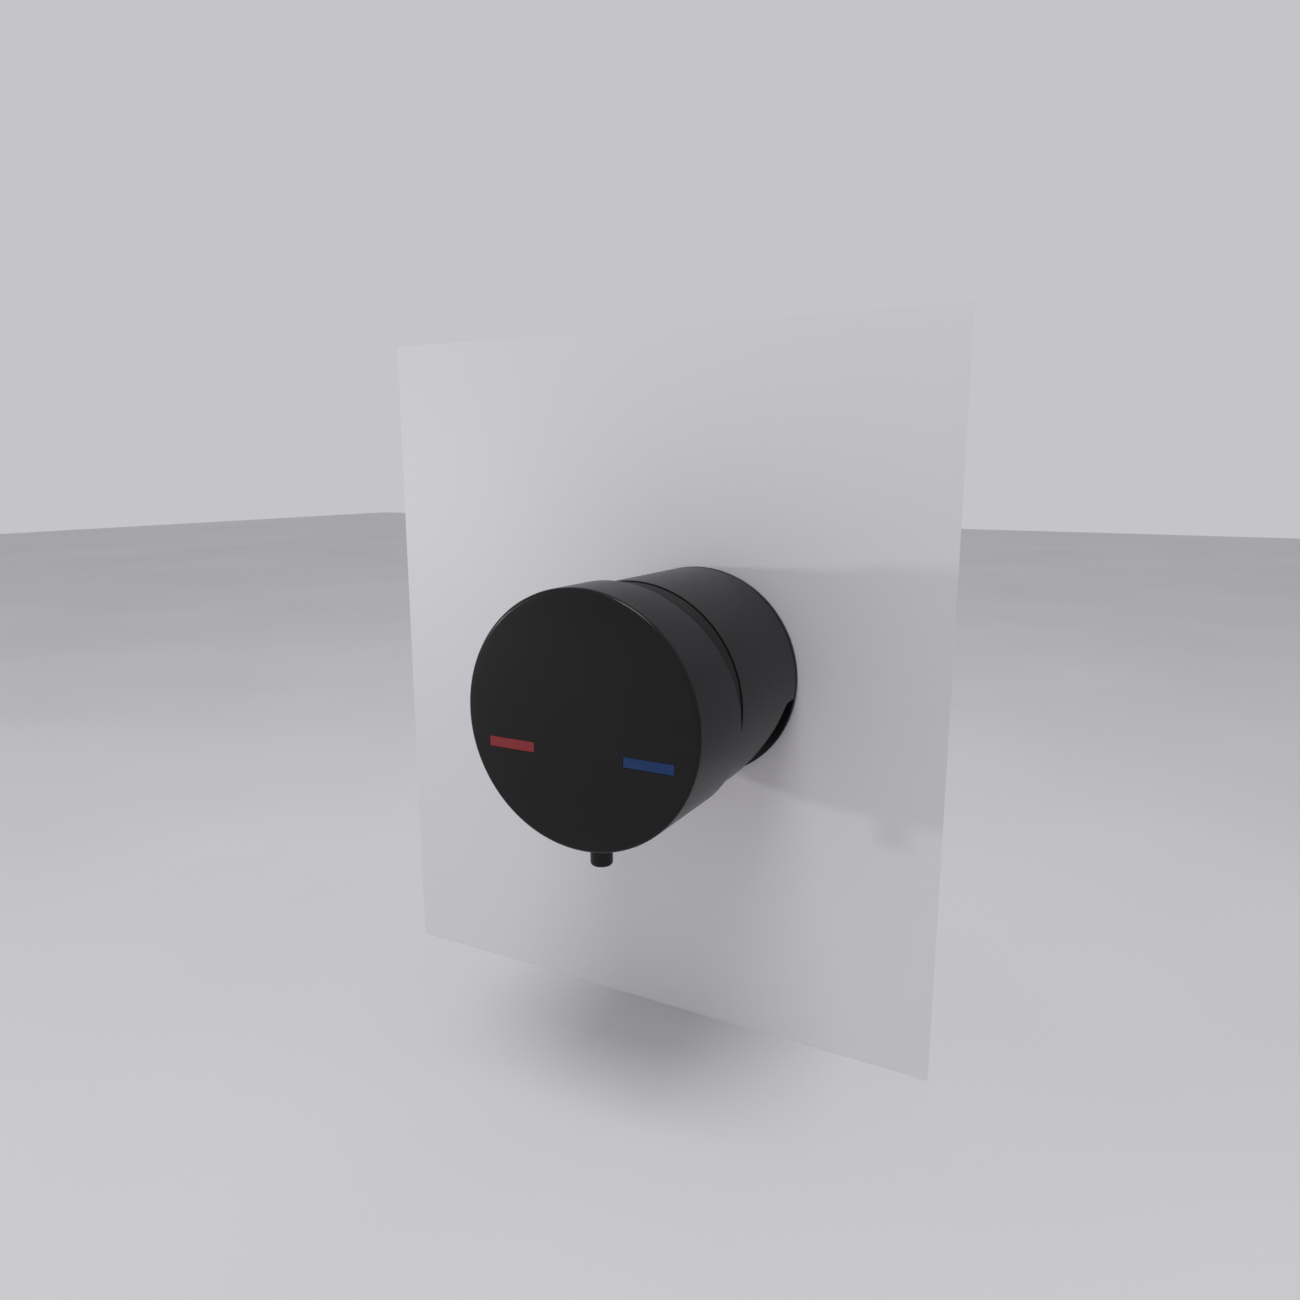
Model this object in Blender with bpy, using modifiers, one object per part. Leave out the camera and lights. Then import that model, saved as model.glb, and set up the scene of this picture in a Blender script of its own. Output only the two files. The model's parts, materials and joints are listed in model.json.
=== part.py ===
"""Wall-mounted single-control bath mixer with a waterfall outlet beside the wall.

Run with: blender --background --factory-startup --python part.py

Frame: the origin is where the mixer's axis meets the face of the bath wall. +Y points into
the wall, so the knob faces -Y. +X is to the right for someone facing the knob, and +Z is up.
Outlines are written in millimetres as (radius, out), where "out" is the distance in front of
the wall face. It is negative behind the wall.
"""

import math

import bmesh
import bpy
from mathutils import Vector

MM = 0.001

# Driving dimensions, in millimetres.
CAP_R = 37.5  # outer radius of the knob
CAP_FRONT = 78.0  # knob face to wall
CAP_WALL = 1.0  # skirt thickness
CAP_FACE = 3.2  # thickness of the knob's face
RIM_MID = 50.8  # the skirt's rear rim, on the axis
RIM_SLOPE = 0.208  # how much further out the rim lies for each millimetre up
SLEEVE_R = 36.2
SLEEVE_WALL = 2.4
SLEEVE_FRONT = 46.5
PLATE_FRONT = 2.0  # front of the base plate's thin outer rim
BATH_WALL = 5.0  # the wall it is drawn clamped to
SHANK_R = 20.95  # G 1 1/4 thread, 41.9 mm
SHANK_END = -38.0
INLET_X = 11.0  # each inlet's distance from the axis
NIPPLE_R = 8.33  # G 3/8 thread
NIPPLE_END = -59.0
BARREL_R = 23.0
BARREL_FRONT = 45.5
CARTRIDGE_R = 17.4  # a 35 mm ceramic cartridge
PORT_X, PORT_Z = 6.6, 3.2  # hot and cold ports in the ceramic discs
OUTLET_Z = -7.2  # mixed-water port
SCREW_CIRCLE_R = 27.2
SCREW_ANGLES = {"top": 90, "left": 210, "right": 330}
PIVOT_OUT = 46.0  # where the lever's pivot pin crosses the axis
BALL_OUT = 34.0  # centre of the lever's ball end
BAR_LENGTH, BAR_HEIGHT, BAR_DEPTH = 15.4, 3.0, 0.7
BAR_X, BAR_Z = 22.3, -9.0
GRIP_R = 3.35
GRIP_OUT = 65.5
GRIP_TIP_Z = -45.9
NECK_R = 35.8  # the collar's neck, which stands on the sleeve's front edge
GAP = 0.3  # clearance between faces that would touch
FINE, PLAIN, SMALL = 60, 28, 14  # steps round a turned piece

AXIS = (0, 0, 0)  # a place on the mixer's own axis, at the wall face
# Turned pieces are drawn about local Z, and these turn that axis to lie as needed.
OUTWARD = (math.radians(90), 0, 0)
UPWARD = (0, 0, 0)
SIDEWAYS = (0, math.radians(90), 0)

# Finish: colour, roughness, metallic.
FINISHES = {
    "satin_black": ((0.022, 0.022, 0.024), 0.42, 0.0),
    "red_enamel": ((0.25, 0.022, 0.03), 0.4, 0.0),
    "blue_enamel": ((0.022, 0.05, 0.17), 0.4, 0.0),
    "brass": ((0.62, 0.44, 0.2), 0.35, 1.0),
    "steel": ((0.55, 0.55, 0.56), 0.3, 1.0),
    "rubber": ((0.02, 0.02, 0.02), 0.75, 0.0),
    "white_plastic": ((0.75, 0.75, 0.72), 0.4, 0.0),
    "grey_plastic": ((0.24, 0.25, 0.27), 0.45, 0.0),
    "black_plastic": ((0.03, 0.03, 0.032), 0.5, 0.0),
    "ceramic": ((0.86, 0.84, 0.78), 0.2, 0.0),
}


def remove_everything():
    for obj in list(bpy.data.objects):
        bpy.data.objects.remove(obj)


def new_collection(name):
    collection = bpy.data.collections.new(name)
    bpy.context.scene.collection.children.link(collection)
    return collection


def own_material(name, finish):
    colour, roughness, metallic = FINISHES[finish]
    material = bpy.data.materials.new(f"{name}_{finish}")
    material.use_nodes = True
    shader = material.node_tree.nodes["Principled BSDF"]
    shader.inputs["Base Color"].default_value = (*colour, 1)
    shader.inputs["Roughness"].default_value = roughness
    shader.inputs["Metallic"].default_value = metallic
    return material


def world_point(x, out, z):
    """A point given in millimetres, right, out from the wall and up."""
    return Vector((x, -out, z)) * MM


def add_object(name, mesh, finish, at=AXIS, rotation=(0, 0, 0)):
    """A visible piece with a finish, or a cutter when the finish is None."""
    obj = bpy.data.objects.new(name, mesh)
    obj.location = world_point(*at)
    obj.rotation_euler = rotation
    if finish is None:
        CUTTERS.objects.link(obj)
        obj.hide_render = True
        obj.display_type = "WIRE"
    else:
        PARTS.objects.link(obj)
        mesh.materials.append(own_material(name, finish))
    return obj


def turned(name, outline, finish, at=AXIS, axis=OUTWARD, steps=PLAIN):
    """Turn an outline of (radius, height) points, which runs down its outer side.

    An outline that starts and ends on the axis stays open there; any other is closed.
    """
    mesh = bpy.data.meshes.new(name)
    bm = bmesh.new()
    points = [bm.verts.new((radius * MM, 0, height * MM)) for radius, height in outline]
    for first, second in zip(points, points[1:]):
        bm.edges.new((first, second))
    if outline[0][0] > 0:
        bm.edges.new((points[-1], points[0]))
    bm.to_mesh(mesh)
    bm.free()
    obj = add_object(name, mesh, finish, at, axis)
    screw = obj.modifiers.new("turn", "SCREW")
    screw.steps = screw.render_steps = steps
    screw.use_merge_vertices = True
    screw.merge_threshold = 0.00001
    screw.use_smooth_shade = False
    return obj


def ring(name, inner, outer, back, front, finish, at=AXIS, steps=PLAIN):
    outline = [(inner, front), (outer, front), (outer, back), (inner, back)]
    return turned(name, outline, finish, at, OUTWARD, steps)


def o_ring(name, inner, outer, back, front, finish="rubber", at=AXIS, steps=PLAIN):
    """A ring whose section is rounded to a hexagon."""
    middle_r, middle_out = (inner + outer) / 2, (front + back) / 2
    half_r, half_out = (outer - inner) / 2, (front - back) / 2
    corners = [math.radians(120 - 60 * k) for k in range(6)]
    tallest = math.sin(math.radians(60))
    outline = [
        (middle_r + half_r * math.cos(a), middle_out + half_out * math.sin(a) / tallest)
        for a in corners
    ]
    return turned(name, outline, finish, at, OUTWARD, steps)


def rod(name, radius, low, high, finish, at, axis, steps=SMALL):
    outline = [(0, high), (radius, high), (radius, low), (0, low)]
    return turned(name, outline, finish, at, axis, steps)


def box(name, low, high, finish=None):
    """A box between two corners, each given as right, out and up."""
    mesh = bpy.data.meshes.new(name)
    bm = bmesh.new()
    bmesh.ops.create_cube(bm, size=1)
    size = [abs(b - a) * MM for a, b in zip(low, high)]
    bmesh.ops.scale(bm, vec=size, verts=bm.verts)
    bm.to_mesh(mesh)
    bm.free()
    middle = [(a + b) / 2 for a, b in zip(low, high)]
    return add_object(name, mesh, finish, middle)


def hexagon(name, across_flats, back, front, finish=None, at=AXIS):
    """A six-sided prism about the mixer's axis, with flats to the left and right."""
    mesh = bpy.data.meshes.new(name)
    bm = bmesh.new()
    radius = across_flats / 2 / math.cos(math.radians(30)) * MM
    depth = (front - back) * MM
    bmesh.ops.create_cone(
        bm, cap_ends=True, segments=6, radius1=radius, radius2=radius, depth=depth
    )
    bm.to_mesh(mesh)
    bm.free()
    x, out, z = at
    middle = (x, out + (front + back) / 2, z)
    return add_object(name, mesh, finish, middle, (math.radians(90), math.radians(30), 0))


def prism(name, outline, low, high, rotation):
    """A cutter: a flat outline in its own XY plane, given a thickness and made a mesh."""
    curve = bpy.data.curves.new(name, "CURVE")
    curve.dimensions = "2D"
    curve.fill_mode = "BOTH"
    curve.extrude = (high - low) / 2 * MM
    spline = curve.splines.new("POLY")
    spline.points.add(len(outline) - 1)
    for point, (across, up) in zip(spline.points, outline):
        point.co = (across * MM, up * MM, 0, 1)
    spline.use_cyclic_u = True
    guide = bpy.data.objects.new(name + "_outline", curve)
    guide.rotation_euler = rotation
    CUTTERS.objects.link(guide)
    bpy.context.view_layer.update()
    evaluated = guide.evaluated_get(bpy.context.evaluated_depsgraph_get())
    mesh = bpy.data.meshes.new_from_object(evaluated)
    bm = bmesh.new()
    bm.from_mesh(mesh)
    bmesh.ops.remove_doubles(bm, verts=bm.verts, dist=0.000001)
    bmesh.ops.recalc_face_normals(bm, faces=bm.faces)
    bm.to_mesh(mesh)
    bm.free()
    cutter = add_object(name, mesh, None)
    cutter.matrix_world = guide.matrix_world
    bpy.data.objects.remove(guide)
    return cutter


def combine(obj, other, operation):
    modifier = obj.modifiers.new(other.name, "BOOLEAN")
    modifier.operation = operation
    modifier.solver = "EXACT"
    modifier.object = other


def cut(obj, *cutters):
    for cutter in cutters:
        combine(obj, cutter, "DIFFERENCE")


def join(obj, *others):
    for other in others:
        combine(obj, other, "UNION")


def arc(centre, radius, start, end, steps):
    """Points along an arc in degrees, ends included."""
    angles = [math.radians(start + (end - start) * k / steps) for k in range(steps + 1)]
    return [
        (centre[0] + radius * math.cos(a), centre[1] + radius * math.sin(a)) for a in angles
    ]


# ---------------------------------------------------------------- fixed to the wall


def make_base_plate():
    """The thin black disc against the wall, with a raised boss that the sleeve fits over."""
    boss_r, boss_front = SLEEVE_R - SLEEVE_WALL - GAP, 3.2
    recess_r, recess_front = 32.0, 1.7
    bore_r = SHANK_R + 0.35
    outline = [
        (bore_r, boss_front),
        (boss_r, boss_front),
        (boss_r, PLATE_FRONT),
        (SLEEVE_R, PLATE_FRONT),
        (SLEEVE_R, GAP),
        (recess_r, GAP),
        (recess_r, recess_front),
        (bore_r, recess_front),
    ]
    return turned("base_plate", outline, "satin_black", steps=FINE)


def make_shank():
    """The threaded tail through the bath wall, with a flange and the two water passages."""
    outline = [
        (0, 6.0),
        (31.0, 6.0),
        (31.0, 3.5),
        (SHANK_R, 3.5),
        (SHANK_R, SHANK_END + 0.8),
        (SHANK_R - 0.8, SHANK_END),
        (0, SHANK_END),
    ]
    shank = turned("mounting_shank", outline, "brass")
    passage = [
        (0, 7.0),
        (6.9, 7.0),
        (6.9, 4.2),
        (6.1, 4.2),
        (6.1, -9.5),
        (4.0, -9.5),
        (4.0, -29.5),
        (6.7, -29.5),
        (6.7, SHANK_END - 1),
        (0, SHANK_END - 1),
    ]
    for side, x in (("hot", -INLET_X), ("cold", INLET_X)):
        cut(shank, turned(f"cut_{side}_passage", passage, None, (x, 0, 0), steps=SMALL))
    for where, x, z in screw_places():
        hole = rod(f"cut_shank_hole_{where}", 2.05, 2, 7, None, (x, 0, z), OUTWARD, 12)
        cut(shank, hole)
    return shank


def screw_places():
    for where, angle in SCREW_ANGLES.items():
        turn = math.radians(angle)
        yield where, SCREW_CIRCLE_R * math.cos(turn), SCREW_CIRCLE_R * math.sin(turn)


def make_wall_clamp():
    """The gaskets, the washer and the nut that clamp the bath wall."""
    bore_r = SHANK_R + GAP
    behind = -BATH_WALL
    pieces = [
        ring("front_gasket", bore_r + 0.2, 31.7, 0, 1.4, "rubber"),
        ring("rear_gasket", bore_r, 31.0, behind - 2.0, behind, "rubber"),
        ring("rear_washer", bore_r, 31.0, behind - 3.8, behind - 2.3, "steel"),
    ]
    nut = hexagon("lock_nut", 50.0, behind - 12.1, behind - 4.1, "brass")
    cut(nut, rod("cut_nut_bore", bore_r, -20, -5, None, AXIS, OUTWARD, PLAIN))
    return pieces + [nut]


def make_nipple(side, x):
    """An inlet nipple: threaded into the shank, a hexagon, and a male thread for the hose."""
    outline = [
        (0, -30.0),
        (6.4, -30.0),
        (6.4, -45.0),
        (NIPPLE_R, -45.0),
        (NIPPLE_R, NIPPLE_END + 0.6),
        (NIPPLE_R - 0.6, NIPPLE_END),
        (0, NIPPLE_END),
    ]
    nipple = turned(f"{side}_inlet_nipple", outline, "brass", (x, 0, 0), steps=SMALL + 4)
    join(nipple, hexagon(f"add_{side}_hexagon", 17.0, -45.4, -40.0, None, (x, 0, 0)))
    bore = [
        (0, -29.0),
        (4.5, -29.0),
        (4.5, -56.4),
        (6.2, -56.4),
        (6.2, NIPPLE_END - 1),
        (0, NIPPLE_END - 1),
    ]
    cut(nipple, turned(f"cut_{side}_nipple_bore", bore, None, (x, 0, 0), steps=SMALL))
    return nipple


def make_strainer(side, x):
    """The inlet's filter disc."""
    outline = [(0, -57.3), (5.9, -57.3), (5.9, -58.5), (0, -58.5)]
    strainer = turned(f"{side}_strainer", outline, "steel", (x, 0, 0), steps=SMALL)
    spots = [(0.0, 0.0)] + arc((0, 0), 3.6, 0, 300, 5)
    for k, (across, up) in enumerate(spots):
        name = f"cut_{side}_strainer_{k}"
        cut(strainer, rod(name, 1.1, -60, -56, None, (x + across, 0, up), OUTWARD, 6))
    return strainer


def make_check_valve(side, x):
    """A non-return insert: its housing, its poppet and its spring."""
    outline = [
        (1.1, 3.9),
        (5.8, 3.9),
        (5.8, -9.2),
        (2.6, -9.2),
        (2.6, -6.5),
        (4.2, -6.5),
        (4.2, 2.6),
        (1.1, 2.6),
    ]
    at = (x, 0, 0)
    housing = turned(f"{side}_check_valve", outline, "white_plastic", at, steps=SMALL)
    for k, (across, up) in enumerate(arc((0, 0), 2.75, 90, 330, 2)):
        place = (x + across, 0, up)
        cut(housing, rod(f"cut_{side}_check_{k}", 1.1, 2, 5, None, place, OUTWARD, 8))
    plunger = [
        (0, 3.3),
        (0.8, 3.3),
        (0.8, -4.7),
        (3.7, -4.7),
        (3.7, -6.2),
        (2.3, -6.2),
        (1.8, -7.2),
        (0, -7.2),
    ]
    poppet = turned(f"{side}_check_poppet", plunger, "black_plastic", at, steps=SMALL)
    return [housing, poppet, make_coil(f"{side}_check_spring", x)]


def make_coil(name, x):
    """The check valve's spring, drawn at the length it has with the poppet open."""
    turns, points_a_turn, coil_r, wire_r = 3, 8, 2.2, 0.28
    back, front = -1.9, 2.1
    curve = bpy.data.curves.new(name, "CURVE")
    curve.dimensions = "3D"
    curve.bevel_depth = wire_r * MM
    curve.bevel_resolution = 1
    curve.use_fill_caps = True
    spline = curve.splines.new("POLY")
    count = turns * points_a_turn + 1
    spline.points.add(count - 1)
    for k, point in enumerate(spline.points):
        angle = 2 * math.pi * k / points_a_turn
        out = back + (front - back) * k / (count - 1)
        place = world_point(coil_r * math.cos(angle), out, coil_r * math.sin(angle))
        point.co = (*place, 1)
    coil = bpy.data.objects.new(name, curve)
    coil.location = world_point(x, 0, 0)
    PARTS.objects.link(coil)
    curve.materials.append(own_material(name, "steel"))
    return coil


def make_inlet(side, x):
    """Everything in one supply's path, up to the valve body."""
    at = (x, 0, 0)
    pieces = [
        make_nipple(side, x),
        make_strainer(side, x),
        ring(f"{side}_nipple_seal", 6.8, 9.4, -39.7, -38.3, "rubber", at, SMALL),
        o_ring(f"{side}_inlet_seal", 4.7, 6.6, 4.35, 6.1, "rubber", at, SMALL),
    ]
    return pieces + make_check_valve(side, x)


# ---------------------------------------------------------------- valve body and sleeve


def make_valve_body():
    """The brass body: a cup for the cartridge, ports in its floor, and a wide outlet slot."""
    back, floor_front, flange_front = 6.3, 14.0, 10.3
    cup_r, thread_r, thread_back = CARTRIDGE_R + 0.4, 20.7, 40.0
    outline = [
        (0, floor_front),
        (cup_r, floor_front),
        (cup_r, thread_back),
        (thread_r, thread_back),
        (thread_r, BARREL_FRONT),
        (BARREL_R - 0.6, BARREL_FRONT),
        (BARREL_R, BARREL_FRONT - 0.6),
        (BARREL_R, flange_front),
        (31.0, flange_front),
        (31.0, back),
        (0, back),
    ]
    body = turned("valve_body", outline, "brass")
    for side, sign in (("hot", -1), ("cold", 1)):
        cut(body, inclined_port(side, sign, back, floor_front))
    drop = rod("cut_mixed_port", 3.0, 10, 15, None, (0, 0, OUTLET_Z), OUTWARD)
    slot = box("cut_outlet_slot", (-12, 8.2, -32), (12, 12.2, -4.5))
    cut(body, drop, slot)
    for where, x, z in screw_places():
        hole = rod(f"cut_body_hole_{where}", 2.1, 5, 12, None, (x, 0, z), OUTWARD, 12)
        cut(body, hole)
    return body


def inclined_port(side, sign, back, front):
    """A drilling from a shank passage, behind, to the cartridge's port, in front."""
    start = Vector((sign * INLET_X, -back, 0))
    end = Vector((sign * PORT_X, -front, PORT_Z))
    along = (end - start).normalized()
    length = (end - start).length + 6
    cutter = rod(f"cut_{side}_port", 2.2, -length / 2, length / 2, None, AXIS, UPWARD)
    cutter.rotation_euler = along.to_track_quat("Z", "Y").to_euler()
    cutter.location = (start + end) / 2 * MM
    return cutter


def make_body_screw(where, x, z):
    """A cap screw that holds the valve body to the shank's flange."""
    outline = [(0, 14.2), (3.4, 14.2), (3.4, 10.6), (1.75, 10.6), (1.75, 3.8), (0, 3.8)]
    screw = turned(f"body_screw_{where}", outline, "steel", (x, 0, z), steps=SMALL)
    cut(screw, hexagon(f"cut_socket_{where}", 3.0, 12.0, 15.0, None, (x, 0, z)))
    return screw


def make_sleeve():
    """The black outer tube, cut away beside the wall where the water falls out."""
    inner_r = SLEEVE_R - SLEEVE_WALL
    lip_r, lip_back, lip_front = 27.0, 37.0, 40.0
    edge = 0.5
    outline = [
        (lip_r, lip_front),
        (inner_r, lip_front),
        (inner_r, SLEEVE_FRONT),
        (SLEEVE_R - edge, SLEEVE_FRONT),
        (SLEEVE_R, SLEEVE_FRONT - edge),
        (SLEEVE_R, PLATE_FRONT + GAP),
        (inner_r, PLATE_FRONT + GAP),
        (inner_r, lip_back),
        (lip_r, lip_back),
    ]
    sleeve = turned("body_sleeve", outline, "satin_black", steps=FINE)
    cut(sleeve, outlet_cutter())
    return sleeve


def outlet_cutter():
    """The outlet's outline from the side: round at the top, then sloping out as it goes down."""
    top_z, bottom_z, corner_r, corner_out = -5.3, -40.0, 3.0, 7.4
    slope = 0.8
    lean = math.degrees(math.atan(1 / slope))
    corner = arc((corner_out, top_z - corner_r), corner_r, 90, 90 - lean, 5)
    last_out, last_z = corner[-1]
    outline = [(-2.0, top_z)] + corner
    outline += [(last_out + slope * (last_z - bottom_z), bottom_z), (-2.0, bottom_z)]
    # The outline's own X is "out" and its own Y is up, and it is extruded across the mixer.
    sideways = (math.radians(90), 0, math.radians(-90))
    return prism("cut_outlet", outline, -40, 40, sideways)


def make_trim_collar():
    """The black collar that screws on the valve body and closes the sleeve's front."""
    neck_back, tail_r = SLEEVE_FRONT + GAP, SLEEVE_R - SLEEVE_WALL - GAP
    outline = [
        (12.5, 52.2),
        (13.3, 53.0),
        (31.0, 53.0),
        (33.6, 52.3),
        (34.9, 51.0),
        (NECK_R, neck_back),
        (tail_r, neck_back),
        (tail_r, 40.4),
        (BARREL_R + 0.4, 40.4),
        (BARREL_R + 0.4, 49.0),
        (20.0, 50.8),
        (12.5, 51.1),
    ]
    return turned("trim_collar", outline, "satin_black")


# ---------------------------------------------------------------- cartridge


def port_cutters(name, radius, outlet_radius, back, front):
    """Three drillings: hot, cold and mixed water."""
    ports = {
        "hot": (-PORT_X, PORT_Z, radius),
        "cold": (PORT_X, PORT_Z, radius),
        "mixed": (0, OUTLET_Z, outlet_radius),
    }
    for port, (x, z, port_r) in ports.items():
        yield rod(f"cut_{name}_{port}", port_r, back, front, None, (x, 0, z), OUTWARD, 12)


def make_cartridge_base():
    base = rod("cartridge_base", CARTRIDGE_R, 14.3, 18.5, "grey_plastic", AXIS, OUTWARD, PLAIN)
    cut(base, *port_cutters("base_port", 2.5, 3.1, 13, 20))
    cut(base, *port_cutters("base_seat", 4.3, 4.9, 13, 15.5))
    return base


def make_port_seals():
    seals = []
    for side, sign in (("hot", -1), ("cold", 1)):
        at = (sign * PORT_X, 0, PORT_Z)
        seals.append(o_ring(f"{side}_port_seal", 2.7, 4.05, 14.1, 15.3, "rubber", at, SMALL))
    at = (0, 0, OUTLET_Z)
    seals.append(o_ring("outlet_port_seal", 3.3, 4.65, 14.1, 15.3, "rubber", at, SMALL))
    return seals


def make_fixed_disc():
    disc = rod("fixed_disc", 15.2, 18.8, 22.0, "ceramic", AXIS, OUTWARD, PLAIN)
    cut(disc, *port_cutters("fixed_disc", 2.4, 3.0, 18, 23))
    return disc


def make_housing():
    inner_r, mouth_r = 15.6, 11.1
    outline = [
        (mouth_r, 42.5),
        (CARTRIDGE_R - 0.5, 42.5),
        (CARTRIDGE_R, 42.0),
        (CARTRIDGE_R, 18.8),
        (inner_r, 18.8),
        (inner_r, 40.3),
        (mouth_r, 40.3),
    ]
    return turned("cartridge_housing", outline, "grey_plastic")


def make_stop_ring():
    """The ring whose recess stops the rotor's lug at each end of its turn."""
    stop_ring = ring("temperature_stop_ring", 10.9, 14.3, 42.8, 44.5, "white_plastic")
    half_sweep = 58
    sector = [(0, 0)] + arc((0, 0), 12.95, 90 - half_sweep, 90 + half_sweep, 12)
    recess = prism("cut_stop_recess", sector, -60, 60, OUTWARD)
    cut(stop_ring, recess)
    return stop_ring


def make_moving_disc():
    """The sliding ceramic disc, with its mixing chamber in the face that it slides on."""
    chamber_r, chamber_front = 7.0, 24.4
    outline = [
        (0, 26.0),
        (11.5, 26.0),
        (11.5, 22.3),
        (chamber_r, 22.3),
        (chamber_r, chamber_front),
        (0, chamber_front),
    ]
    return turned("moving_disc", outline, "ceramic")


def make_disc_driver():
    """The carrier on the moving disc: a tongue that slides in the rotor, and a ball socket."""
    driver = rod("disc_driver", 11.2, 26.3, 36.0, "white_plastic", AXIS, OUTWARD, PLAIN)
    join(driver, box("add_tongue", (-4, 34, -6), (4, 38.2, 6)))
    socket = rod("cut_ball_socket", 2.95, 30.6, 35.2, None, AXIS, OUTWARD)
    cut(driver, socket, box("cut_lever_slot", (-3, 34.6, -4.4), (3, 39, 4.4)))
    return driver


def make_rotor():
    """The turret that turns with the knob and carries the lever's pivot."""
    outline = [
        (0, 50.0),
        (9.9, 50.0),
        (10.5, 49.4),
        (10.5, 40.0),
        (15.2, 40.0),
        (15.2, 37.0),
        (0, 37.0),
    ]
    rotor = turned("cartridge_rotor", outline, "white_plastic")
    join(rotor, box("add_stop_lug", (-0.9, 42.9, 9.0), (0.9, 44.3, 12.6)))
    cut(
        rotor,
        box("cut_tongue_groove", (-4.3, 36.0, -17), (4.3, 38.5, 17)),
        box("cut_lever_window", (-4.2, 35.0, -6.8), (4.2, 52.0, 6.8)),
        rod("cut_rotor_pin", 1.55, -12, 12, None, (0, PIVOT_OUT, 0), SIDEWAYS, 16),
    )
    return rotor


def make_pivot_pin():
    return rod("lever_pivot_pin", 1.25, -9.9, 9.9, "steel", (0, PIVOT_OUT, 0), SIDEWAYS, 16)


# ---------------------------------------------------------------- lever and knob


def make_lever():
    """The lever's stem, from its ball end to the top of the hub."""
    ball_r, stem_r, neck_r, top = 2.6, 3.0, 2.2, 70.0
    neck_joint = BALL_OUT + 2.0
    ball = arc((0, BALL_OUT), ball_r, 40, -90, 4)
    outline = [(0, top), (stem_r, top), (stem_r, 41.0), (neck_r, 40.0), (neck_r, neck_joint)]
    outline += ball[:-1] + [(0, BALL_OUT - ball_r)]
    lever = turned("lever_stem", outline, "steel", steps=SMALL)
    cut(lever, rod("cut_lever_pin", 1.55, -5, 5, None, (0, PIVOT_OUT, 0), SIDEWAYS, 16))
    return lever


def make_hub():
    """The brass carrier inside the knob: clamps on the lever and takes the grip pin."""
    disc_r, disc_back, disc_front = 35.9, 71.5, CAP_FRONT - CAP_FACE - GAP
    boss_r, boss_back = 8.0, 53.5
    outline = [
        (0, disc_front),
        (disc_r, disc_front),
        (disc_r, disc_back),
        (boss_r, disc_back),
        (boss_r, boss_back),
        (3.3, boss_back),
        (3.3, 70.3),
        (0, 70.3),
    ]
    hub = turned("knob_hub", outline, "brass")
    join(hub, box("add_grip_arm", (-5.5, 61.0, -35.4), (5.5, 72.5, -6.5)))
    cut(
        hub,
        rod("cut_grip_thread", 2.75, -40, -22, None, (0, GRIP_OUT, 0), UPWARD, 20),
        rod("cut_set_screw", 2.8, 0, 12, None, (0, 57.5, 0), UPWARD, 20),
    )
    return hub


def make_set_screw():
    """The grub screw that clamps the hub on the lever, reached through the knob's top gap."""
    screw = rod("knob_set_screw", 2.5, 3.4, 8.4, "steel", (0, 57.5, 0), UPWARD, 20)
    cut(screw, rod("cut_set_socket", 1.25, 6.2, 9.5, None, (0, 57.5, 0), UPWARD, 6))
    return screw


def make_cap():
    """The knob's cap: a flat face, a thin skirt and a rear rim that leans with the tilt."""
    inner_r, edge_r, skirt_back = CAP_R - CAP_WALL, 0.8, 41.0
    edge = arc((CAP_R - edge_r, CAP_FRONT - edge_r), edge_r, 90, 0, 2)
    outline = [(0, CAP_FRONT)] + edge
    outline += [
        (CAP_R, skirt_back),
        (inner_r, skirt_back),
        (inner_r, CAP_FRONT - CAP_FACE),
        (0, CAP_FRONT - CAP_FACE),
    ]
    cap = turned("knob_cap", outline, "satin_black", steps=FINE)
    cut(cap, rim_cutter())
    clearance = 0.12
    for side, x in (("red", -BAR_X), ("blue", BAR_X)):
        half_x, half_z = BAR_LENGTH / 2 + clearance, BAR_HEIGHT / 2 + clearance
        low = (x - half_x, CAP_FRONT - BAR_DEPTH - 0.2, BAR_Z - half_z)
        high = (x + half_x, CAP_FRONT + 1, BAR_Z + half_z)
        cut(cap, box(f"cut_{side}_recess", low, high))
    cut(cap, rod("cut_grip_hole", GRIP_R + GAP, -40, -34, None, (0, GRIP_OUT, 0), UPWARD))
    return cap


def rim_cutter():
    """Takes off all of the skirt behind the leaning rim."""
    depth = 40.0
    cutter = box("cut_rim", (-50, -depth / 2, -60), (50, depth / 2, 60))
    lean = math.atan(RIM_SLOPE)
    cutter.rotation_euler = (lean, 0, 0)
    normal = Vector((0, -math.cos(lean), -math.sin(lean)))
    cutter.location = world_point(0, RIM_MID, 0) - normal * depth / 2 * MM
    return cutter


def make_marker(name, x, finish):
    low = (x - BAR_LENGTH / 2, CAP_FRONT - BAR_DEPTH, BAR_Z - BAR_HEIGHT / 2)
    high = (x + BAR_LENGTH / 2, CAP_FRONT, BAR_Z + BAR_HEIGHT / 2)
    return box(name, low, high, finish)


def make_grip_pin():
    """The short round pin under the knob, screwed into the hub's arm."""
    thread_r, thread_top, shoulder_z, round_r = 2.45, -24.5, -35.7, 0.9
    tip = arc((GRIP_R - round_r, GRIP_TIP_Z + round_r), round_r, 0, -90, 3)
    outline = [(0, thread_top), (thread_r, thread_top), (thread_r, shoulder_z)]
    outline += [(GRIP_R, shoulder_z)] + tip + [(0, GRIP_TIP_Z)]
    return turned("grip_pin", outline, "satin_black", (0, GRIP_OUT, 0), UPWARD, SMALL)


# ---------------------------------------------------------------- assembly


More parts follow.
